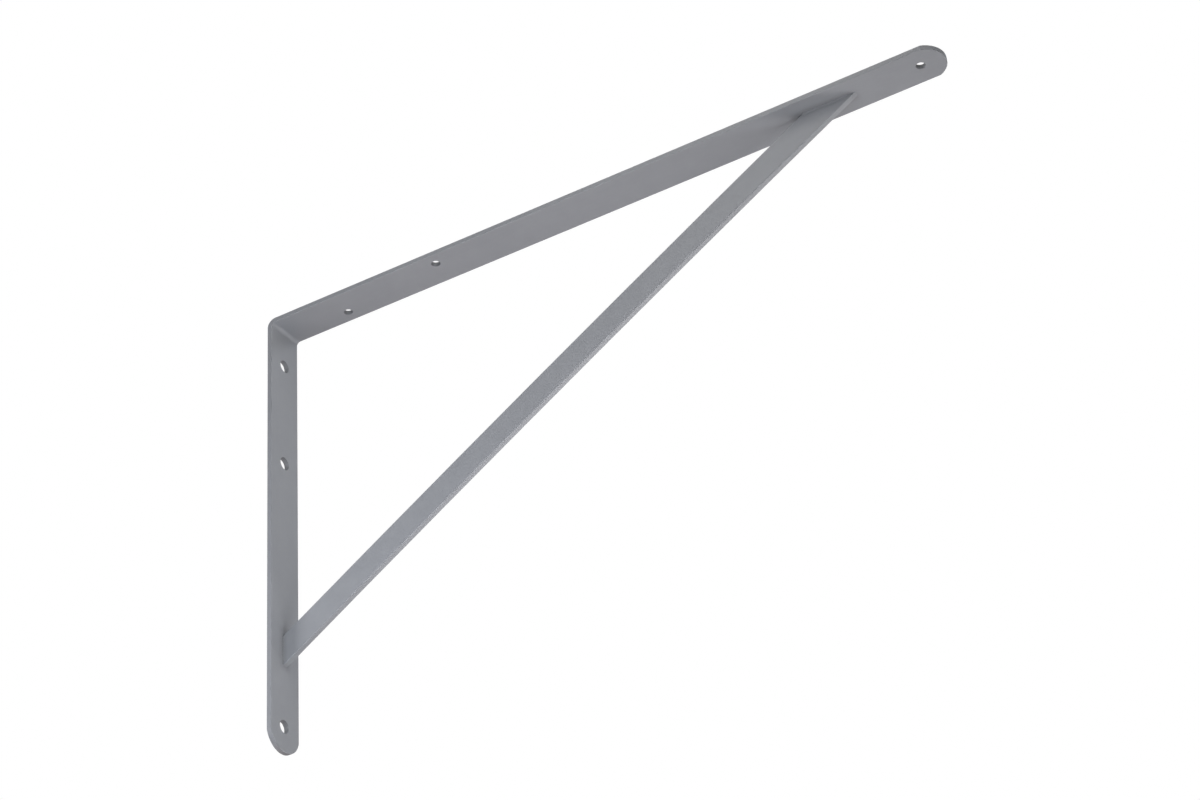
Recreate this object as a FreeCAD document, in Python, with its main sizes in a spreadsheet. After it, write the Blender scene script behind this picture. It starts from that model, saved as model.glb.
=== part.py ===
import FreeCAD, Part
import math
import os
import Sketcher

# Gallows shelf bracket, millimetres.
#
# Frame: x = 0 is the wall plane, z = 0 is the plane the shelf lies on and
# y = 0 is the middle of the bar. The origin is where the three meet, at the
# outer corner of the bend. +X points away from the wall, +Z up. The wall arm
# hangs down from the corner, the shelf arm runs out from it, and the brace
# crosses the corner below the shelf arm.

doc = FreeCAD.newDocument("gallows_shelf_bracket")

# ---------------------------------------------------------------- sizes
sheet = doc.addObject("Spreadsheet::Sheet", "sizes")
SIZES = [
    ("shelf_arm", 600.0, "wall plane to the tip of the shelf arm"),
    ("wall_arm", 384.5, "shelf plane to the bottom of the wall arm"),
    ("bar_width", 35.0, "width of the strap"),
    ("bar_thick", 4.2, "thickness of the strap, with its coat of paint"),
    ("bend_inside", 3.5, "inside radius of the bend"),
    ("shelf_end_radius", 19.0, "radius of the shelf arm's rounded end"),
    ("wall_end_radius", 18.0, "radius of the wall arm's rounded end"),
    ("edge_round", 0.5, "rounding of the strap's long edges"),
    ("corner_round", 1.5, "easing of the corners where the end arcs meet the sides"),
    ("rim_round", 0.3, "rounding of the hole rims"),
    ("wall_hole_dia", 10.6, "holes in the wall arm"),
    ("wall_hole_top", 37.2, "upper wall hole, below the shelf plane"),
    ("wall_hole_mid", 130.4, "middle wall hole, below the shelf plane"),
    ("wall_hole_low", 363.4, "lowest wall hole, below the shelf plane"),
    ("shelf_hole_dia", 7.3, "holes in the shelf arm"),
    ("shelf_hole_in", 63.0, "inner shelf hole, out from the wall plane"),
    ("shelf_hole_mid", 156.6, "middle shelf hole, out from the wall plane"),
    ("shelf_hole_out", 580.6, "outer shelf hole, out from the wall plane"),
    ("stagger", 6.6, "how far the two inner shelf holes stand off the middle"),
    ("end_drift", 0.9, "how far the two end holes stand off the middle"),
    ("brace_wide", 22.0, "width of the brace, in the bracket's plane"),
    ("brace_thick", 5.0, "thickness of the brace"),
    ("brace_foot", 312.4, "toe of the brace on the wall arm, below the shelf plane"),
    ("brace_head", 527.4, "toe of the brace on the shelf arm, out from the wall plane"),
    ("brace_camber", 2.6, "rise of the brace at mid length, towards the corner"),
    ("brace_edge", 0.4, "easing of the brace's long edges"),
    ("weld_leg", 1.7, "leg of the weld seams"),
    ("weld_inset", 1.6, "from the brace's toe to the end of a seam"),
]
for row, (alias, value, what) in enumerate(SIZES, start=1):
    sheet.set("A%d" % row, what)
    sheet.set("B%d" % row, repr(value))
    sheet.setAlias("B%d" % row, alias)
doc.recompute()


def size(alias):
    return float(getattr(sheet, alias))


# ---------------------------------------------------------------- helpers
def plane(body, role):
    return [f for f in body.Origin.OriginFeatures if f.Role == role][0]


def new_sketch(body, name, role):
    sk = body.newObject("Sketcher::SketchObject", name)
    sk.AttachmentSupport = [(plane(body, role), "")]
    sk.MapMode = "FlatFace"
    return sk


def tie(sk, kind, args, value, expression, name):
    """A dimension that follows the sheet."""
    i = sk.addConstraint(Sketcher.Constraint(kind, *args, value))
    sk.renameConstraint(i, name)
    sk.setExpression("Constraints." + name, expression)
    return i


def link(sk, kind, *args):
    sk.addConstraint(Sketcher.Constraint(kind, *args))


def line(sk, a, b):
    return sk.addGeometry(Part.LineSegment(FreeCAD.Vector(a[0], a[1], 0), FreeCAD.Vector(b[0], b[1], 0)), False)


def arc(sk, centre, radius, start, end):
    """Counter-clockwise from start to end."""
    a0 = math.atan2(start[1] - centre[1], start[0] - centre[0])
    a1 = math.atan2(end[1] - centre[1], end[0] - centre[0])
    if a1 < a0:
        a1 += 2 * math.pi
    c = Part.Circle(FreeCAD.Vector(centre[0], centre[1], 0), FreeCAD.Vector(0, 0, 1), radius)
    return sk.addGeometry(Part.ArcOfCircle(c, a0, a1), False)


def right(sk, geo, pos, expression, value, name):
    """Point geo.pos lies value to the right of the sketch's origin."""
    tie(sk, "DistanceX", (-1, 1, geo, pos), value, expression, name)


def left(sk, geo, pos, expression, value, name):
    tie(sk, "DistanceX", (geo, pos, -1, 1), value, expression, name)


def above(sk, geo, pos, expression, value, name):
    tie(sk, "DistanceY", (-1, 1, geo, pos), value, expression, name)


def below(sk, geo, pos, expression, value, name):
    """Point geo.pos lies value under the sketch's origin."""
    tie(sk, "DistanceY", (geo, pos, -1, 1), value, expression, name)


def both_ways(body, kind, name, sketch, expression):
    """A pad or pocket that runs equally to both sides of its sketch."""
    f = body.newObject(kind, name)
    f.Profile = sketch
    f.SideType = "Symmetric"
    f.setExpression("Length", expression)
    return f


def settle(what):
    doc.recompute()
    for o in doc.Objects:
        if "Invalid" in o.State or "Error" in o.State:
            raise RuntimeError("%s: %s is %s" % (what, o.Name, o.State))
    for o in doc.Objects:
        if o.TypeId == "Sketcher::SketchObject":
            if o.solve() != 0 or not o.FullyConstrained:
                raise RuntimeError("%s: sketch %s is not fully constrained" % (what, o.Name))


def edges_where(feature, test):
    return ["Edge%d" % (i + 1) for i, e in enumerate(feature.Shape.Edges) if test(e)]


T = size("bar_thick")
W = size("bar_width")
RI = size("bend_inside")
RO = RI + T
D = size("shelf_arm")
H = size("wall_arm")

# ---------------------------------------------------------------- strap
# One flat bar, bent through a right angle.
strap = doc.addObject("PartDesign::Body", "strap")
strap.Label = "strap"

sk = new_sketch(strap, "strap_section", "XZ_Plane")
g0 = line(sk, (0, -H), (0, -RO))
g1 = arc(sk, (RO, -RO), RO, (RO, 0), (0, -RO))
g2 = line(sk, (RO, 0), (D, 0))
g3 = line(sk, (D, 0), (D, -T))
g4 = line(sk, (D, -T), (RO, -T))
g5 = arc(sk, (RO, -RO), RI, (RO, -T), (T, -RO))
g6 = line(sk, (T, -RO), (T, -H))
g7 = line(sk, (T, -H), (0, -H))
link(sk, "Tangent", g0, 2, g1, 2)
link(sk, "Tangent", g1, 1, g2, 1)
link(sk, "Coincident", g2, 2, g3, 1)
link(sk, "Coincident", g3, 2, g4, 1)
link(sk, "Tangent", g4, 2, g5, 1)
link(sk, "Tangent", g5, 2, g6, 1)
link(sk, "Coincident", g6, 2, g7, 1)
link(sk, "Coincident", g7, 2, g0, 1)
link(sk, "Coincident", g1, 3, g5, 3)
link(sk, "Vertical", g0)
link(sk, "Horizontal", g2)
link(sk, "Vertical", g3)
link(sk, "Horizontal", g4)
link(sk, "Vertical", g6)
link(sk, "Horizontal", g7)
link(sk, "PointOnObject", g0, 1, -2)
link(sk, "PointOnObject", g2, 2, -1)
right(sk, g3, 1, "sizes.shelf_arm", D, "reach")
below(sk, g0, 1, "sizes.wall_arm", H, "drop")
right(sk, g6, 2, "sizes.bar_thick", T, "thickness")
tie(sk, "Radius", (g5,), RI, "sizes.bend_inside", "inside_bend")
settle("strap section")
pad = both_ways(strap, "PartDesign::Pad", "strap_bar", sk, "sizes.bar_width")
settle("strap bar")
full = strap.Shape.Volume


def round_end(name, role, reach, radius, reach_of, radius_of, downwards):
    """The outline outside an end arc, as a closed sketch, to be cut away."""
    half, out = W / 2, 2.0
    mid = reach - radius
    chord = mid + math.sqrt(radius * radius - half * half)
    sk = new_sketch(strap, name, role)
    if downwards:
        turn = lambda a, c: (c, -a)
    else:
        turn = lambda a, c: (a, c)
    p = [turn(chord, -half), turn(chord, half), turn(chord, half + out),
         turn(reach + out, half + out), turn(reach + out, -half - out), turn(chord, -half - out)]
    centre = turn(mid, 0)
    a = arc(sk, centre, radius, p[0], p[1])
    lines = [line(sk, p[i], p[(i + 1) % 6]) for i in range(1, 6)]
    # the arc's first point is p[0] and its last is p[1]
    link(sk, "Coincident", a, 2, lines[0], 1)
    for i in range(4):
        link(sk, "Coincident", lines[i], 2, lines[i + 1], 1)
    link(sk, "Coincident", lines[4], 2, a, 1)
    tie(sk, "Radius", (a,), radius, radius_of, "end_radius")
    if downwards:
        link(sk, "PointOnObject", a, 3, -2)
        link(sk, "Horizontal", lines[0])
        link(sk, "Vertical", lines[1])
        link(sk, "Horizontal", lines[2])
        link(sk, "Vertical", lines[3])
        link(sk, "Horizontal", lines[4])
        below(sk, a, 3, "%s - %s" % (reach_of, radius_of), mid, "arc_centre")
        right(sk, a, 2, "sizes.bar_width / 2", half, "half_width")
        left(sk, a, 1, "sizes.bar_width / 2", half, "half_width_near")
        right(sk, lines[1], 1, "sizes.bar_width / 2 + 2", half + out, "clear_far")
        left(sk, lines[4], 1, "sizes.bar_width / 2 + 2", half + out, "clear_near")
        below(sk, lines[2], 1, "%s + 2" % reach_of, reach + out, "clear_end")
    else:
        link(sk, "PointOnObject", a, 3, -1)
        link(sk, "Vertical", lines[0])
        link(sk, "Horizontal", lines[1])
        link(sk, "Vertical", lines[2])
        link(sk, "Horizontal", lines[3])
        link(sk, "Vertical", lines[4])
        right(sk, a, 3, "%s - %s" % (reach_of, radius_of), mid, "arc_centre")
        above(sk, a, 2, "sizes.bar_width / 2", half, "half_width")
        below(sk, a, 1, "sizes.bar_width / 2", half, "half_width_near")
        above(sk, lines[1], 1, "sizes.bar_width / 2 + 2", half + out, "clear_far")
        below(sk, lines[4], 1, "sizes.bar_width / 2 + 2", half + out, "clear_near")
        right(sk, lines[2], 1, "%s + 2" % reach_of, reach + out, "clear_end")
    settle(name)
    return sk


def end_waste(radius):
    """Area outside the end arc, between it and the square end."""
    half = W / 2
    sag = radius - math.sqrt(radius * radius - half * half)
    angle = 2 * math.asin(half / radius)
    return W * sag - radius * radius / 2 * (angle - math.sin(angle))


def cut_both(name, sketch, expected):
    """Cut the strap through, and compare the volume taken."""
    before = strap.Shape.Volume
    f = both_ways(strap, "PartDesign::Pocket", name, sketch, "2 * sizes.bar_thick + 2")
    settle(name)
    taken = before - strap.Shape.Volume
    if abs(taken - expected) > 0.002 * expected + 0.01:
        raise RuntimeError("%s took %.2f mm3, not %.2f" % (name, taken, expected))
    return f


sk = round_end("shelf_end_outline", "XY_Plane", D, size("shelf_end_radius"),
               "sizes.shelf_arm", "sizes.shelf_end_radius", False)
cut_both("shelf_end", sk, T * end_waste(size("shelf_end_radius")))
sk = round_end("wall_end_outline", "YZ_Plane", H, size("wall_end_radius"),
               "sizes.wall_arm", "sizes.wall_end_radius", True)
cut_both("wall_end", sk, T * end_waste(size("wall_end_radius")))


def circle(sk, x, y, r):
    return sk.addGeometry(Part.Circle(FreeCAD.Vector(x, y, 0), FreeCAD.Vector(0, 0, 1), r), False)


# three holes for the wall fixings; the lowest stands a little off the middle
sk = new_sketch(strap, "wall_hole_centres", "YZ_Plane")
r_wall = size("wall_hole_dia") / 2
for name in ("top", "mid", "low"):
    drop = size("wall_hole_" + name)
    off = size("end_drift") if name == "low" else 0.0
    c = circle(sk, -off, -drop, r_wall)
    tie(sk, "Diameter", (c,), 2 * r_wall, "sizes.wall_hole_dia", "dia_" + name)
    below(sk, c, 3, "sizes.wall_hole_" + name, drop, "drop_" + name)
    if off:
        left(sk, c, 3, "sizes.end_drift", off, "off_" + name)
    else:
        link(sk, "PointOnObject", c, 3, -2)
settle("wall hole centres")
cut_both("wall_holes", sk, 3 * math.pi * r_wall ** 2 * T)

# three holes for the shelf screws; the two inner ones are staggered
sk = new_sketch(strap, "shelf_hole_centres", "XY_Plane")
r_shelf = size("shelf_hole_dia") / 2
for name, off, alias in (("in", size("stagger"), "stagger"), ("mid", -size("stagger"), "stagger"),
                         ("out", -size("end_drift"), "end_drift")):
    reach = size("shelf_hole_" + name)
    c = circle(sk, reach, off, r_shelf)
    tie(sk, "Diameter", (c,), 2 * r_shelf, "sizes.shelf_hole_dia", "dia_" + name)
    right(sk, c, 3, "sizes.shelf_hole_" + name, reach, "reach_" + name)
    (above if off > 0 else below)(sk, c, 3, "sizes." + alias, abs(off), "off_" + name)
settle("shelf hole centres")
last = cut_both("shelf_holes", sk, 3 * math.pi * r_shelf ** 2 * T)


def on_corner(e):
    """A short straight edge across the thickness, at an end arc."""
    if e.isClosed():
        return False
    b = e.BoundBox
    tol = 1e-3
    at_side = abs(abs(e.CenterOfMass.y) - W / 2) < tol
    return at_side and e.Length < T + tol and (b.XLength > T - tol or b.ZLength > T - tol)


def on_rim(e):
    """A hole's rim: a closed circle."""
    return e.isClosed()


def on_outline(e):
    """An edge of the bar's two wide faces, other than a rim."""
    if e.isClosed():
        return False
    b = e.BoundBox
    tol = 1e-3
    # the edges across the bar's thickness at the corners of the rounded ends
    if max(b.XLength, b.YLength, b.ZLength) < T + tol:
        return False
    # the bend's seams run straight across the bar
    if b.YLength > W - 1 and b.XLength < tol and b.ZLength < tol:
        return False
    return True


corners = strap.newObject("PartDesign::Fillet", "end_corners")
corners.Base = (last, edges_where(last, on_corner))
corners.setExpression("Radius", "sizes.corner_round")
settle("end corners")
fillet = strap.newObject("PartDesign::Fillet", "rolled_edges")
fillet.Base = (corners, edges_where(corners, on_outline))
fillet.setExpression("Radius", "sizes.edge_round")
settle("rolled edges")
rims = strap.newObject("PartDesign::Fillet", "hole_rims")
rims.Base = (fillet, edges_where(fillet, on_rim))
rims.setExpression("Radius", "sizes.rim_round")
settle("hole rims")
strap.Tip = rims

# ---------------------------------------------------------------- diagonal_brace
# A flat bar on edge, mitred flush to both arms, with a slight camber.
FOOT, HEAD = size("brace_foot"), size("brace_head")
CAMBER, BW, BT = size("brace_camber"), size("brace_wide"), size("brace_thick")
dx, dz = HEAD - T, FOOT - T
L = math.hypot(dx, dz)
ux, uz = dx / L, dz / L
R = (L * L / 4 + CAMBER * CAMBER) / (2 * CAMBER)
mx, mz = (T + HEAD) / 2, -(FOOT + T) / 2
cx, cz = mx + uz * (R - CAMBER), mz - ux * (R - CAMBER)


def z_on(radius, x):
    return cz + math.sqrt(radius ** 2 - (x - cx) ** 2)


def x_on(radius, z):
    return cx - math.sqrt(radius ** 2 - (z - cz) ** 2)


foot_top = -z_on(R + BW, T)
head_in = x_on(R + BW, -T)

brace = doc.addObject("PartDesign::Body", "diagonal_brace")
brace.Label = "diagonal_brace"
sk = new_sketch(brace, "brace_side", "XZ_Plane")
lower = arc(sk, (cx, cz), R, (HEAD, -T), (T, -FOOT))
upper = arc(sk, (cx, cz), R + BW, (head_in, -T), (T, -foot_top))
foot = line(sk, (T, -FOOT), (T, -foot_top))
head = line(sk, (head_in, -T), (HEAD, -T))
link(sk, "Coincident", lower, 2, foot, 1)
link(sk, "Coincident", foot, 2, upper, 2)
link(sk, "Coincident", upper, 1, head, 1)
link(sk, "Coincident", head, 2, lower, 1)
link(sk, "Coincident", lower, 3, upper, 3)
link(sk, "Vertical", foot)
link(sk, "Horizontal", head)
right(sk, lower, 2, "sizes.bar_thick", T, "foot_out")
below(sk, lower, 2, "sizes.brace_foot", FOOT, "foot_down")
right(sk, lower, 1, "sizes.brace_head", HEAD, "head_out")
below(sk, lower, 1, "sizes.bar_thick", T, "head_down")
RULE = ("((sizes.brace_head - sizes.bar_thick)^2 + (sizes.brace_foot - sizes.bar_thick)^2)"
        " / (8 * sizes.brace_camber) + sizes.brace_camber / 2")
tie(sk, "Radius", (lower,), R, RULE, "lower_radius")
tie(sk, "Radius", (upper,), R + BW, RULE + " + sizes.brace_wide", "upper_radius")
settle("brace side")
bar = both_ways(brace, "PartDesign::Pad", "brace_bar", sk, "sizes.brace_thick")
settle("brace bar")


def long_edge(e):
    b = e.BoundBox
    return max(b.XLength, b.ZLength) > 200


ease = brace.newObject("PartDesign::Chamfer", "brace_eased_edges")
ease.Base = (bar, edges_where(bar, long_edge))
ease.setExpression("Size", "sizes.brace_edge")
settle("brace eased edges")
brace.Tip = ease

# ---------------------------------------------------------------- weld seams
# Small fillet seams on both sides of the brace, left and right as seen when
# facing the wall. Each is a three-cornered bar that lies on the arm and on
# the brace. It stops short of the brace's eased edges.
LEG, INSET, ROUND = size("weld_leg"), size("weld_inset"), size("edge_round")


def seam(name, role, side, at_foot):
    body = doc.addObject("PartDesign::Body", name)
    body.Label = name
    sk = new_sketch(body, name + "_section", role)
    if at_foot:
        # seen from above: (x, y), legs on the arm (x = T) and the brace
        p = [(T, side * BT / 2), (T + LEG, side * BT / 2), (T, side * (BT / 2 + LEG))]
    else:
        # seen along the arm: (y, z), legs under the arm (z = -T) and on the brace
        p = [(side * BT / 2, -T), (side * BT / 2, -T - LEG), (side * (BT / 2 + LEG), -T)]
    e = [line(sk, p[i], p[(i + 1) % 3]) for i in range(3)]
    for i in range(3):
        link(sk, "Coincident", e[i], 2, e[(i + 1) % 3], 1)
    half = "sizes.brace_thick / 2"
    if at_foot:
        link(sk, "Horizontal", e[0])
        link(sk, "Vertical", e[2])
        right(sk, e[0], 1, "sizes.bar_thick", T, "arm_face")
        right(sk, e[0], 2, "sizes.bar_thick + sizes.weld_leg", T + LEG, "leg_out")
        (above if side > 0 else below)(sk, e[0], 1, half, BT / 2, "brace_face")
        (above if side > 0 else below)(sk, e[1], 2, half + " + sizes.weld_leg", BT / 2 + LEG, "leg_side")
    else:
        link(sk, "Vertical", e[0])
        link(sk, "Horizontal", e[2])
        below(sk, e[0], 1, "sizes.bar_thick", T, "arm_face")
        below(sk, e[0], 2, "sizes.bar_thick + sizes.weld_leg", T + LEG, "leg_down")
        (right if side > 0 else left)(sk, e[0], 1, half, BT / 2, "brace_face")
        (right if side > 0 else left)(sk, e[1], 2, half + " + sizes.weld_leg", BT / 2 + LEG, "leg_side")
    settle(name + " section")
    pad = body.newObject("PartDesign::Pad", name + "_run")
    pad.Profile = sk
    if at_foot:
        # from just above the brace's toe up to its upper edge
        run = FOOT - foot_top - INSET - ROUND
        pad.Length = run
        pad.setExpression("Length", "sizes.brace_foot - %.6f - sizes.weld_inset - sizes.edge_round" % foot_top)
        body.Placement = FreeCAD.Placement(FreeCAD.Vector(0, 0, -(FOOT - INSET)), FreeCAD.Rotation())
        body.setExpression("Placement.Base.z", "-(sizes.brace_foot - sizes.weld_inset)")
    else:
        # the lower edge slopes away faster here, so the seam stops further in
        slope = dx / dz
        out = "(%.6f)" % slope
        run = HEAD - slope * LEG - ROUND * 2 - INSET - head_in - ROUND
        pad.Length = run
        pad.setExpression("Length", "sizes.brace_head - %s * sizes.weld_leg - 3 * sizes.edge_round"
                                    " - sizes.weld_inset - %.6f" % (out, head_in))
        body.Placement = FreeCAD.Placement(FreeCAD.Vector(head_in + ROUND, 0, 0), FreeCAD.Rotation())
        body.setExpression("Placement.Base.x", "%.6f + sizes.edge_round" % head_in)
    settle(name)
    want = LEG * LEG / 2 * run
    if abs(body.Shape.Volume - want) > 0.01 * want:
        raise RuntimeError("%s has %.2f mm3, not %.2f" % (name, body.Shape.Volume, want))
    return body


seams = [
    seam("lower_weld_left", "XY_Plane", -1, True),
    seam("lower_weld_right", "XY_Plane", 1, True),
    seam("upper_weld_left", "YZ_Plane", -1, False),
    seam("upper_weld_right", "YZ_Plane", 1, False),
]

# ---------------------------------------------------------------- write
settle("whole model")
os.makedirs("parts", exist_ok=True)
for body in [strap, brace] + seams:
    shape = body.Shape
    if shape.isNull() or not shape.isValid() or len(shape.Solids) != 1:
        raise RuntimeError("%s has no single valid solid" % body.Label)
    shape.exportStep("parts/%s.step" % body.Label)
    b = shape.optimalBoundingBox(False)
    print("%-20s %10.1f mm3  x %.2f..%.2f  y %.2f..%.2f  z %.2f..%.2f" % (
        body.Label, shape.Volume, b.XMin, b.XMax, b.YMin, b.YMax, b.ZMin, b.ZMax))
print("brace: foot top %.2f, head in %.2f, slope %.3f deg, camber radius %.0f" % (
    foot_top, head_in, math.degrees(math.atan2(dz, dx)), R))
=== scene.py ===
import math
import random

import bmesh
import bpy
from mathutils import Matrix, Vector, noise


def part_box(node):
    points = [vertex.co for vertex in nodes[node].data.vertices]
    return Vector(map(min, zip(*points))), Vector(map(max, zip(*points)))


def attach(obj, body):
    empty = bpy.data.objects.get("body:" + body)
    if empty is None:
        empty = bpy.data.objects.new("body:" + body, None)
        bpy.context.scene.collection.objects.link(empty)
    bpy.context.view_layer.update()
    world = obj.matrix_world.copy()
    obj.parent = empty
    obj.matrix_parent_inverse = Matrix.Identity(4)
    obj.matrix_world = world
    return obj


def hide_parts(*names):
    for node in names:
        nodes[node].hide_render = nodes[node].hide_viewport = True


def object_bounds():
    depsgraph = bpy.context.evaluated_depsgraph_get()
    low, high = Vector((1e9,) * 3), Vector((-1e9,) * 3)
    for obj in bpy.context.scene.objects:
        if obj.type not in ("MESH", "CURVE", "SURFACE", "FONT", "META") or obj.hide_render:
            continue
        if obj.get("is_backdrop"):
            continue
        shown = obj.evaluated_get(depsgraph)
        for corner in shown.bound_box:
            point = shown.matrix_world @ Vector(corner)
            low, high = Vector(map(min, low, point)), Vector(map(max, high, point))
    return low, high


# Gallows shelf bracket. Metres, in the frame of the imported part: x = 0 is the
# wall plane, z = 0 the shelf plane, y = 0 the middle of the bar.

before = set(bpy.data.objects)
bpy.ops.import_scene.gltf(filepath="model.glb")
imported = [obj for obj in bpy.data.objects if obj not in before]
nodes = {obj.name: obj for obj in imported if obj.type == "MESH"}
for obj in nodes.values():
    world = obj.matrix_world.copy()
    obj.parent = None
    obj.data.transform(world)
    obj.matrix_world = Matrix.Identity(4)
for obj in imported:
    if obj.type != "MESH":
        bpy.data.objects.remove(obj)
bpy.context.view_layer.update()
scene = bpy.context.scene

scene.view_settings.view_transform = "Standard"
scene.view_settings.look = "None"
scene.view_settings.exposure = 0.0
scene.view_settings.gamma = 1.0


# ---------------------------------------------------------------- node helpers
class Nodes:
    """Short calls for building one material's node tree."""

    def __init__(self, name):
        self.mat = bpy.data.materials.new(name)
        self.mat.use_nodes = True
        self.tree = self.mat.node_tree
        self.tree.nodes.clear()
        self.out = self.tree.nodes.new("ShaderNodeOutputMaterial")
        self.shader = self.tree.nodes.new("ShaderNodeBsdfPrincipled")
        self.link(self.shader.outputs[0], self.out.inputs["Surface"])

    def link(self, a, b):
        self.tree.links.new(a, b)

    def put(self, socket, value):
        """value is a socket to link, or a number or vector to set."""
        if isinstance(value, bpy.types.NodeSocket):
            self.link(value, socket)
        else:
            socket.default_value = value

    def math(self, op, a, b=0.0, c=None, clamp=False):
        n = self.tree.nodes.new("ShaderNodeMath")
        n.operation = op
        n.use_clamp = clamp
        self.put(n.inputs[0], a)
        self.put(n.inputs[1], b)
        if c is not None:
            self.put(n.inputs[2], c)
        return n.outputs[0]

    def vmath(self, op, a, b=(0, 0, 0)):
        n = self.tree.nodes.new("ShaderNodeVectorMath")
        n.operation = op
        self.put(n.inputs[0], a)
        self.put(n.inputs[1], b)
        return n.outputs[0]

    def noise(self, vector, scale, detail=2.0, rough=0.5, distort=0.0):
        n = self.tree.nodes.new("ShaderNodeTexNoise")
        self.put(n.inputs["Vector"], vector)
        n.inputs["Scale"].default_value = scale
        n.inputs["Detail"].default_value = detail
        n.inputs["Roughness"].default_value = rough
        n.inputs["Distortion"].default_value = distort
        return n.outputs["Fac"]

    def voronoi(self, vector, scale, feature="F1", out="Distance"):
        n = self.tree.nodes.new("ShaderNodeTexVoronoi")
        n.feature = feature
        self.put(n.inputs["Vector"], vector)
        n.inputs["Scale"].default_value = scale
        return n.outputs[out]

    def range(self, value, a, b, c, d, smooth=False):
        n = self.tree.nodes.new("ShaderNodeMapRange")
        n.interpolation_type = "SMOOTHSTEP" if smooth else "LINEAR"
        n.clamp = True
        self.put(n.inputs["Value"], value)
        for key, v in zip(("From Min", "From Max", "To Min", "To Max"), (a, b, c, d)):
            self.put(n.inputs[key], v)
        return n.outputs["Result"]

    def mix(self, share, a, b, kind="MIX"):
        n = self.tree.nodes.new("ShaderNodeMix")
        n.data_type = "RGBA"
        n.blend_type = kind
        n.clamp_factor = True
        self.put(n.inputs[0], share)
        self.put(n.inputs[6], a)
        self.put(n.inputs[7], b)
        return n.outputs[2]

    def bump(self, height, distance, strength=1.0, normal=None):
        n = self.tree.nodes.new("ShaderNodeBump")
        n.inputs["Strength"].default_value = strength
        n.inputs["Distance"].default_value = distance
        self.put(n.inputs["Height"], height)
        if normal is not None:
            self.put(n.inputs["Normal"], normal)
        return n.outputs[0]


PAINT = (0.300, 0.310, 0.330, 1.0)
PAINT_PALE = (0.338, 0.348, 0.368, 1.0)
PAINT_DEEP = (0.270, 0.280, 0.300, 1.0)
# dark tone for the painted shade in the welded corners and the holes, and for the welds' soot
SHADE_AND_SOOT_TONE = (0.130, 0.133, 0.140, 1.0)
# light tone for the painted highlight on the rounded edges
EDGE_LIGHT_TONE = (0.430, 0.440, 0.460, 1.0)

# seams in millimetres: the head lies along x under the shelf arm, the foot along
# z on the wall arm
head_lo, head_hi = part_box("upper_weld_left")
foot_lo, foot_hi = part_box("lower_weld_left")
SEAM_X = (head_lo.x * 1000, head_hi.x * 1000)
SEAM_Z = (foot_lo.z * 1000, foot_hi.z * 1000)
THICK = 4.2
# the strap's holes: centre and radius in millimetres
WALL_HOLES = [(0.0, -37.2, 5.3), (0.0, -130.4, 5.3), (-0.9, -363.4, 5.3)]
SHELF_HOLES = [(63.0, 6.6, 3.65), (156.6, -6.6, 3.65), (580.6, -0.9, 3.65)]


def arris(n, kind):
    """1 on the rounded long edges and rims, 0 on the flats beside them."""
    geo = n.tree.nodes.new("ShaderNodeNewGeometry")
    nor = n.tree.nodes.new("ShaderNodeSeparateXYZ")
    n.link(geo.outputs["Normal"], nor.inputs[0])
    pos = n.tree.nodes.new("ShaderNodeSeparateXYZ")
    coord = n.tree.nodes.new("ShaderNodeTexCoord")
    n.link(coord.outputs["Object"], pos.inputs[0])

    def between(axis):
        """sin 2t for a normal at t from the axis."""
        a = n.math("ABSOLUTE", nor.outputs[axis])
        rest = n.math("SQRT", n.math("SUBTRACT", 1.0, n.math("MULTIPLY", a, a), clamp=True))
        return n.math("MULTIPLY", n.math("MULTIPLY", a, rest), 2.0, clamp=True)

    if kind == "brace":
        return between(1)
    shelf = n.math("GREATER_THAN", pos.outputs[0], 0.0078)
    wall = n.math("LESS_THAN", pos.outputs[2], -0.0078)
    bend = n.math("SUBTRACT", 1.0, n.math("ADD", shelf, wall), clamp=True)
    on_shelf = n.math("MULTIPLY", shelf, between(2))
    on_wall = n.math("MULTIPLY", wall, between(0))
    on_bend = n.math("MULTIPLY", bend, between(1))
    return n.math("ADD", n.math("ADD", on_shelf, on_wall), on_bend, clamp=True)


def outside(n, value, lo, hi):
    """How far value lies outside lo..hi."""
    off = n.math("ABSOLUTE", n.math("SUBTRACT", value, (lo + hi) / 2))
    return n.math("MAXIMUM", n.math("SUBTRACT", off, (hi - lo) / 2), 0.0)


def length3(n, a, b, c):
    ab = n.math("ADD", n.math("MULTIPLY", a, a), n.math("MULTIPLY", b, b))
    return n.math("SQRT", n.math("ADD", ab, n.math("MULTIPLY", c, c)))


def seam_distance(n, pos):
    """Millimetres from the nearer of the two welded corners."""
    x, y, z = pos
    side = outside(n, y, -2.5, 2.5)
    head = length3(n, outside(n, x, SEAM_X[0] - 7.0, SEAM_X[1] + 2.0), side,
                   n.math("MULTIPLY", outside(n, z, -THICK - 0.05, -THICK + 0.05), 1.6))
    foot = length3(n, outside(n, z, SEAM_Z[0] - 1.0, SEAM_Z[1] + 4.0), side,
                   n.math("MULTIPLY", outside(n, x, THICK - 0.05, THICK + 0.05), 1.6))
    return n.math("MINIMUM", head, foot)


def in_holes(n, pos):
    """1 on the walls of the strap's holes, 0 elsewhere."""
    x, y, z = pos
    best = None
    for holes, u, v in ((WALL_HOLES, y, z), (SHELF_HOLES, x, y)):
        for cu, cv, radius in holes:
            du, dv = n.math("SUBTRACT", u, cu), n.math("SUBTRACT", v, cv)
            d = n.math("SQRT", n.math("ADD", n.math("MULTIPLY", du, du), n.math("MULTIPLY", dv, dv)))
            d = n.math("SUBTRACT", d, radius)
            best = d if best is None else n.math("MINIMUM", best, d)
    return n.range(best, 0.02, 0.32, 1.0, 0.0, smooth=True)


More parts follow.
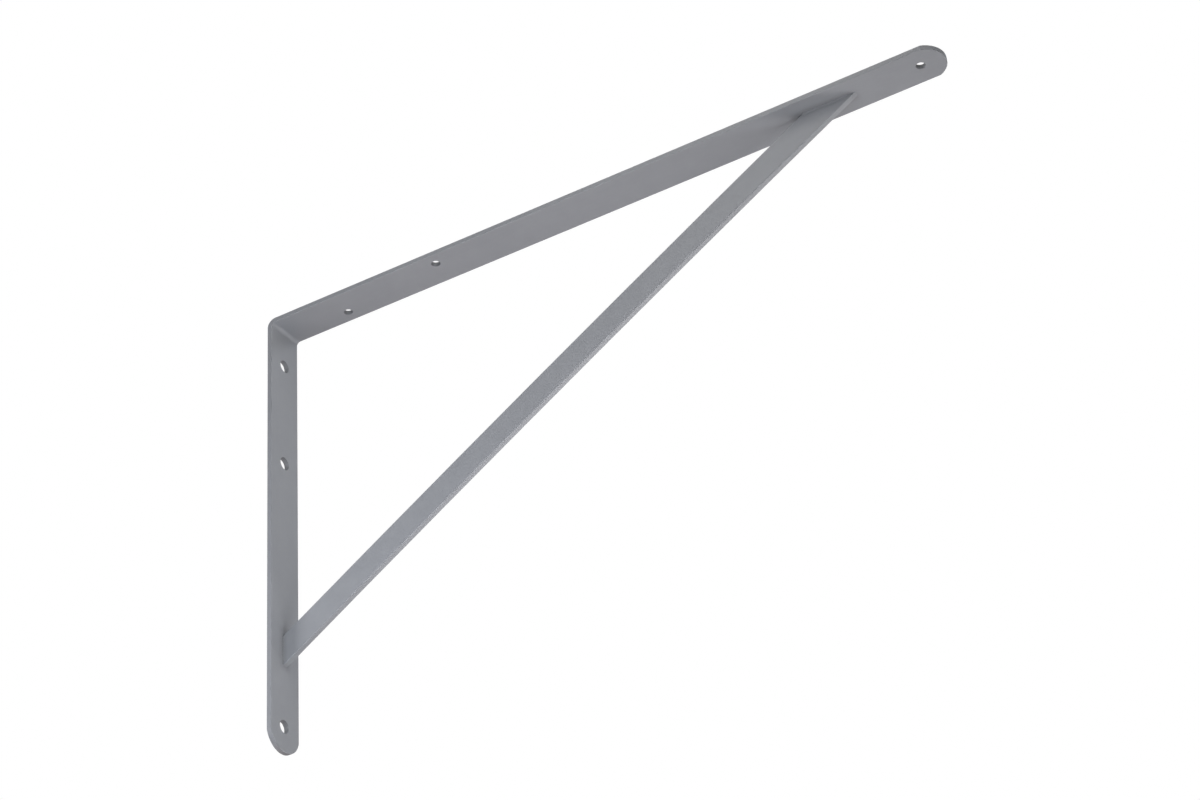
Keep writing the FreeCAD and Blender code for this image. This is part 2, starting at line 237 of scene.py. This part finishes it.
def paint(name, kind, along=(1, 1, 1), offset=(0.0, 0.0, 0.0)):
    """Satin silver-grey spray paint over rolled flat bar. along stretches the
    faint rolling marks of the steel under the coat."""
    n = Nodes(name)
    coord = n.tree.nodes.new("ShaderNodeTexCoord").outputs["Object"]
    flat = n.vmath("MULTIPLY", coord, (1000.0, 1000.0, 1000.0))
    mm = n.vmath("ADD", flat, offset)
    drawn = n.vmath("MULTIPLY", mm, along)
    sep = n.tree.nodes.new("ShaderNodeSeparateXYZ")
    n.link(flat, sep.inputs[0])
    pos = (sep.outputs[0], sep.outputs[1], sep.outputs[2])

    cloud = n.noise(mm, 0.011, 2.0, 0.5)          # 90 mm drifts of the spray
    blotch = n.noise(mm, 0.085, 3.0, 0.55, 0.3)   # 12 mm patches
    marks = n.noise(drawn, 0.42, 3.0, 0.6)        # rolling marks, drawn out along the bar
    peel = n.noise(mm, 0.62, 2.0, 0.45, 0.15)     # orange peel, 1.6 mm
    grain = n.noise(mm, 3.1, 2.0, 0.6)            # 0.3 mm pigment grain
    flake = n.voronoi(mm, 4.6, out="Color")
    flake_sep = n.tree.nodes.new("ShaderNodeSeparateXYZ")
    n.link(flake, flake_sep.inputs[0])
    glint = n.range(flake_sep.outputs[0], 0.86, 1.0, 0.0, 1.0)
    specks = n.voronoi(mm, 0.085, out="Distance")  # rare dust nibs in the coat
    nib = n.range(specks, 0.030, 0.065, 1.0, 0.0, smooth=True)

    # colour
    tone = n.math("ADD", n.math("MULTIPLY", cloud, 0.42), n.math("MULTIPLY", blotch, 0.34))
    tone = n.math("ADD", tone, n.math("MULTIPLY", marks, 0.24))
    # painted light: the brace takes an 8.5 % paler copy of the same paint, standing in for the brighter light on
    # it
    body, pale, deeper = (tuple(v * (1.085 if kind == "brace" else 1.0) for v in c[:3]) + (1.0,)
                          for c in (PAINT, PAINT_PALE, PAINT_DEEP))
    colour = n.mix(n.range(tone, 0.30, 0.70, 0.0, 1.0), deeper, pale)
    colour = n.mix(0.45, colour, body)
    colour = n.mix(n.math("MULTIPLY", n.range(grain, 0.35, 0.75, 0.0, 1.0), 0.07), colour, deeper)
    colour = n.mix(n.math("MULTIPLY", glint, 0.09), colour, (0.50, 0.51, 0.53, 1.0))

    edge = arris(n, kind) if kind in ("strap", "brace") else None
    if edge is not None:
        # painted highlight: the colour lightens, in patches, on the rounded long edges
        patchy = n.range(n.noise(mm, 0.12, 3.0, 0.6), 0.25, 0.7, 0.35, 1.0)
        edge_highlight = n.math("MULTIPLY", n.range(edge, 0.25, 0.95, 0.0, 1.0, smooth=True), patchy)
        colour = n.mix(n.math("MULTIPLY", edge_highlight, 0.20 if kind == "strap" else 0.14), colour, EDGE_LIGHT_TONE)

    # painted shade: the colour darkens towards the welded corners and into the wedge under the brace's head, with
    # a trace of weld soot; darkest on the beads
    corner_shade_and_soot = n.range(seam_distance(n, pos), 0.0, 7.0 if kind != "weld" else 3.0, 1.0, 0.0, smooth=True)
    corner_shade_and_soot = n.math("MULTIPLY", corner_shade_and_soot, n.range(n.noise(mm, 0.55, 3.0, 0.6), 0.25, 0.75, 0.55, 1.0))
    shade_and_soot_depth = {"strap": 0.34, "brace": 0.34, "weld": 0.85}[kind]
    corner_shade_and_soot = n.math("MULTIPLY", corner_shade_and_soot, shade_and_soot_depth)
    colour = n.mix(corner_shade_and_soot, colour, SHADE_AND_SOOT_TONE)
    # painted shade: the colour darkens on the walls of the strap's holes
    if kind == "strap":
        bore_shade = in_holes(n, pos)
        colour = n.mix(n.math("MULTIPLY", bore_shade, 0.42), colour, SHADE_AND_SOOT_TONE)
    n.put(n.shader.inputs["Base Color"], colour)

    # roughness
    rough = n.math("ADD", 0.38, n.math("MULTIPLY", blotch, 0.10))
    rough = n.math("ADD", rough, n.math("MULTIPLY", marks, 0.07))
    rough = n.math("ADD", rough, n.math("MULTIPLY", grain, 0.05))
    rough = n.math("SUBTRACT", rough, n.math("MULTIPLY", glint, 0.06), clamp=True)
    rough = n.math("ADD", rough, n.math("MULTIPLY", corner_shade_and_soot, 0.30), clamp=True)
    if kind == "strap":
        rough = n.math("ADD", rough, n.math("MULTIPLY", bore_shade, 0.15), clamp=True)
    n.put(n.shader.inputs["Roughness"], rough)

    # relief: waviness of the rolled bar, orange peel, grain, dust nibs; the
    # brace's faces are the smoother ones
    calm = 0.35 if kind == "brace" else 0.85
    wave = n.bump(n.noise(drawn, 0.06, 1.0, 0.4), 0.00005)
    peeled = n.bump(peel, 0.000009 * calm, normal=wave)
    fine = n.bump(n.math("ADD", grain, n.math("MULTIPLY", marks, 0.8)), 0.0000012 * calm, normal=peeled)
    last = n.bump(nib, 0.000015, normal=fine)
    n.put(n.shader.inputs["Normal"], last)

    n.shader.inputs["Metallic"].default_value = 0.0
    n.shader.inputs["IOR"].default_value = 1.5
    n.shader.inputs["Specular IOR Level"].default_value = 0.5
    return n.mat


def finish_node(name, material):
    o = nodes[name]
    o.data.materials.clear()
    o.data.materials.append(material)


# The strap's rolling marks run along each arm, the brace's along its length.
strap_paint = paint("strap_finish", "strap", along=(0.22, 1.0, 0.22))
finish_node("strap", strap_paint)
brace_paint = paint("brace_finish", "brace", along=(0.24, 1.0, 0.34), offset=(37.0, 11.0, 5.0))
finish_node("diagonal_brace", brace_paint)
weld_paint = paint("weld_finish", "weld", offset=(-21.0, 60.0, 9.0))


# ---------------------------------------------------------------- weld beads
def bead(name, node, start, end, out_arm, out_brace, leg, seed):
    """A small hand-made fillet bead under the coat, from start to end along
    the corner of arm and brace. out_arm lies on the arm's face, away from the
    brace; out_brace lies on the brace's face, away from the arm."""
    rnd = random.Random(seed)
    start, end = Vector(start), Vector(end)
    length = (end - start).length
    run = (end - start).normalized()
    out_arm, out_brace = Vector(out_arm), Vector(out_brace)
    # ripple fronts, unevenly spaced
    fronts, at = [], -0.0008
    while at < length + 0.002:
        fronts.append(at)
        at += rnd.uniform(0.00085, 0.00145)
    steps = int(length / 0.00011)
    across = 18
    sunk = 0.00016
    bm = bmesh.new()
    rings = []
    for i in range(steps + 1):
        u = length * i / steps
        # rounded ends
        near = min(u, length - u)
        taper = math.sqrt(max(0.0, 1.0 - (1.0 - min(1.0, near / 0.0013)) ** 2))
        drift = noise.noise(Vector((u * 420.0, seed * 3.7, 0.0)))
        wobble = noise.noise(Vector((u * 1500.0, seed * 1.3, 5.0)))
        size_a = leg * (0.90 + 0.10 * drift + 0.05 * wobble) * (0.12 + 0.88 * taper)
        size_b = leg * (0.92 - 0.08 * drift + 0.05 * wobble) * (0.12 + 0.88 * taper)
        ring = []
        for k in range(across + 1):
            t = k / across
            # the ripple fronts bow forward in the middle of the bead
            v = u - 0.00062 * math.sin(math.pi * t)
            j = 0
            while j + 1 < len(fronts) and fronts[j + 1] <= v:
                j += 1
            gap = (fronts[j + 1] - fronts[j]) if j + 1 < len(fronts) else 0.001
            f = min(1.0, max(0.0, (v - fronts[j]) / gap))
            scallop = math.sin(math.pi * f ** 0.7)
            # hollow across, with low ripples
            swell = (-0.17 + 0.045 * scallop) * math.sin(math.pi * t) * leg * taper
            rough = 0.000014 * noise.noise(Vector((u * 5200.0, t * 7.0, seed * 2.0)))
            a = size_a * (1.0 - t)
            b = size_b * t
            p = start + run * u + out_arm * (a + 0.7 * (swell + rough)) + out_brace * (b + 0.7 * (swell + rough))
            if k == 0:
                p = start + run * u + out_arm * (size_a + 0.00003) - out_brace * sunk
            if k == across:
                p = start + run * u + out_brace * (size_b + 0.00003) - out_arm * sunk
            ring.append(bm.verts.new(p))
        ring.append(bm.verts.new(start + run * u - out_arm * sunk - out_brace * sunk))
        rings.append(ring)
    n = across + 2
    for a, b in zip(rings, rings[1:]):
        for k in range(n):
            bm.faces.new((a[k], a[(k + 1) % n], b[(k + 1) % n], b[k]))
    bm.faces.new(rings[0])
    bm.faces.new(list(reversed(rings[-1])))
    bmesh.ops.recalc_face_normals(bm, faces=bm.faces)
    mesh = bpy.data.meshes.new(name)
    bm.to_mesh(mesh)
    bm.free()
    for p in mesh.polygons:
        p.use_smooth = len(p.vertices) == 4
    o = bpy.data.objects.new(name, mesh)
    scene.collection.objects.link(o)
    o.data.materials.append(weld_paint)
    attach(o, "root")
    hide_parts(node)
    return o


def seam_box(node):
    lo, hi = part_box(node)
    return lo, hi


for side, word, seed in ((-1, "left", 11), (1, "right", 23)):
    node = "lower_weld_" + word
    lo, hi = seam_box(node)
    y = hi.y if side < 0 else lo.y
    bead("lower_bead_" + word, node, (lo.x, y, lo.z - 0.0006), (lo.x, y, hi.z + 0.0002),
         (0, side, 0), (1, 0, 0), 0.8 * (hi.x - lo.x), seed)
    node = "upper_weld_" + word
    lo, hi = seam_box(node)
    y = hi.y if side < 0 else lo.y
    bead("upper_bead_" + word, node, (lo.x - 0.0001, y, hi.z), (hi.x, y, hi.z),
         (0, side, 0), (0, 0, -1), 0.8 * (hi.z - lo.z), seed + 5)


# ---------------------------------------------------------------- stage
def floor():
    n = Nodes("floor_finish")
    coord = n.tree.nodes.new("ShaderNodeTexCoord").outputs["Object"]
    soft = n.noise(coord, 0.6, 3.0, 0.5)
    n.put(n.shader.inputs["Base Color"], n.mix(n.range(soft, 0.3, 0.7, 0.0, 1.0), (0.86, 0.86, 0.86, 1), (0.90, 0.90, 0.90, 1)))
    n.shader.inputs["Roughness"].default_value = 0.9
    # seen straight on it is as white as the sweep behind it, with no horizon line
    white = n.tree.nodes.new("ShaderNodeEmission")
    n.put(white.inputs["Color"], n.mix(n.range(soft, 0.3, 0.7, 0.0, 1.0), (0.993, 0.993, 0.993, 1), (1, 1, 1, 1)))
    white.inputs["Strength"].default_value = 1.0
    path = n.tree.nodes.new("ShaderNodeLightPath")
    blend = n.tree.nodes.new("ShaderNodeMixShader")
    n.link(path.outputs["Is Camera Ray"], blend.inputs[0])
    n.link(n.shader.outputs[0], blend.inputs[1])
    n.link(white.outputs[0], blend.inputs[2])
    n.link(blend.outputs[0], n.out.inputs["Surface"])
    mesh = bpy.data.meshes.new("floor")
    s, z = 30.0, -2.8
    mesh.from_pydata([(-s, -s, z), (s, -s, z), (s, s, z), (-s, s, z)], [], [(0, 1, 2, 3)])
    o = bpy.data.objects.new("floor", mesh)
    scene.collection.objects.link(o)
    mesh.materials.append(n.mat)
    o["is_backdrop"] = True


floor()

# the white sweep round the object: plain white to the eye, a soft glow as light
GLOW = 0.0
world = bpy.data.worlds.new("studio")
scene.world = world
world.use_nodes = True
wt = world.node_tree
wt.nodes.clear()
w_out = wt.nodes.new("ShaderNodeOutputWorld")
w_seen = wt.nodes.new("ShaderNodeBackground")
w_seen.inputs["Color"].default_value = (1, 1, 1, 1)
w_seen.inputs["Strength"].default_value = 1.0
w_light = wt.nodes.new("ShaderNodeBackground")
w_light.name = "glow"
w_light.inputs["Color"].default_value = (1, 1, 1, 1)
w_light.inputs["Strength"].default_value = GLOW
w_path = wt.nodes.new("ShaderNodeLightPath")
w_mix = wt.nodes.new("ShaderNodeMixShader")
wt.links.new(w_path.outputs["Is Camera Ray"], w_mix.inputs[0])
wt.links.new(w_light.outputs[0], w_mix.inputs[1])
wt.links.new(w_seen.outputs[0], w_mix.inputs[2])
wt.links.new(w_mix.outputs[0], w_out.inputs["Surface"])

MIDDLE = Vector((0.25, 0.0, -0.16))
# name, place, aim, width, watts, colour
LAMPS = [
    ("near_left", (-0.935, -0.917, -0.230), MIDDLE, 0.6, 7.87, (0.99, 0.98, 1.00)),
    ("close_low_near_left", (0.120, -0.350, -0.450), (0.12, 0.0, -0.16), 0.3, 0.53, (0.91, 0.95, 1.00)),
    ("right", (1.740, -0.123, -0.277), MIDDLE, 0.6, 6.71, (1.00, 1.00, 1.00)),
    ("close_high_near_right", (0.400, -0.400, 0.200), (0.40, 0.0, -0.16), 0.3, 0.72, (1.00, 0.98, 0.95)),
    ("close_low_near_left_2", (0.000, -0.400, -0.300), (0.05, 0.0, -0.16), 0.3, 0.43, (0.89, 0.92, 1.00)),
    ("low_far_right", (0.763, 1.260, -0.793), MIDDLE, 0.6, 5.31, (1.00, 0.97, 0.96)),
    ("close_low", (0.350, -0.020, -0.450), (0.35, 0.0, -0.16), 0.3, 0.32, (1.00, 0.99, 1.00)),
    ("close_low_2", (0.300, 0.000, -0.620), (0.30, 0.0, -0.16), 0.3, 0.51, (0.99, 0.97, 1.00)),
    ("high_near_right", (0.959, -0.451, 1.082), MIDDLE, 0.6, 3.70, (1.00, 0.98, 0.95)),
    ("close_near_right", (0.500, -0.400, -0.200), (0.50, 0.0, -0.16), 0.3, 0.20, (0.92, 0.95, 1.00)),
    ("close_low_far_right", (0.500, 0.350, -0.350), (0.50, 0.0, -0.16), 0.3, 0.27, (0.97, 0.97, 1.00)),
    ("low_far_left", (-0.494, 0.615, -1.308), MIDDLE, 0.6, 2.32, (1.00, 0.85, 0.82)),
    ("high_far", (0.595, 1.099, 0.801), MIDDLE, 0.6, 1.82, (0.83, 0.88, 1.00)),
    ("low_left", (-0.497, -0.172, -1.449), MIDDLE, 0.6, 1.98, (1.00, 0.93, 0.93)),
    # for the top, the back and the far side, which the lamps above leave dark
    ("behind_high", (-0.150, 1.250, 0.950), MIDDLE, 0.9, 9.0, (1.00, 1.00, 1.00)),
    ("behind_top", (-0.250, 0.050, 1.350), MIDDLE, 0.9, 6.0, (1.00, 1.00, 1.00)),
]
for name, place, aim, wide, power, tint in LAMPS:
    place = Vector(place)
    data = bpy.data.lights.new("lamp_" + name, "AREA")
    data.shape = "SQUARE"
    data.size = wide
    data.energy = power
    data.color = tint
    o = bpy.data.objects.new("lamp_" + name, data)
    scene.collection.objects.link(o)
    o.location = place
    o.rotation_mode = "QUATERNION"
    o.rotation_quaternion = (place - Vector(aim)).to_track_quat("Z", "Y")
    o.visible_camera = False

# ---------------------------------------------------------------- camera
AZ, EL, ROLL = math.radians(28.725), math.radians(-33.633), math.radians(-4.25)
DIST, AIM = 2.1390, Vector((0.29165, 0.0, -0.18416))
back = Vector((math.sin(AZ) * math.cos(EL), -math.cos(AZ) * math.cos(EL), math.sin(EL)))
fwd = -back
right = fwd.cross(Vector((0, 0, 1))).normalized()
up = right.cross(fwd)
r = right * math.cos(ROLL) + up * math.sin(ROLL)
u = -right * math.sin(ROLL) + up * math.cos(ROLL)
cam_data = bpy.data.cameras.new("camera")
cam_data.sensor_fit = "HORIZONTAL"
cam_data.sensor_width = 36.0
cam_data.lens = 36.0 * 2891.1 / 1200.0
cam_data.clip_start, cam_data.clip_end = 0.05, 100.0
cam = bpy.data.objects.new("camera", cam_data)
scene.collection.objects.link(cam)
place = AIM + back * DIST
cam.matrix_world = Matrix((
    (r.x, u.x, back.x, place.x),
    (r.y, u.y, back.y, place.y),
    (r.z, u.z, back.z, place.z),
    (0, 0, 0, 1)))
scene.camera = cam

# ---------------------------------------------------------------- sizes
lo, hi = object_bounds()
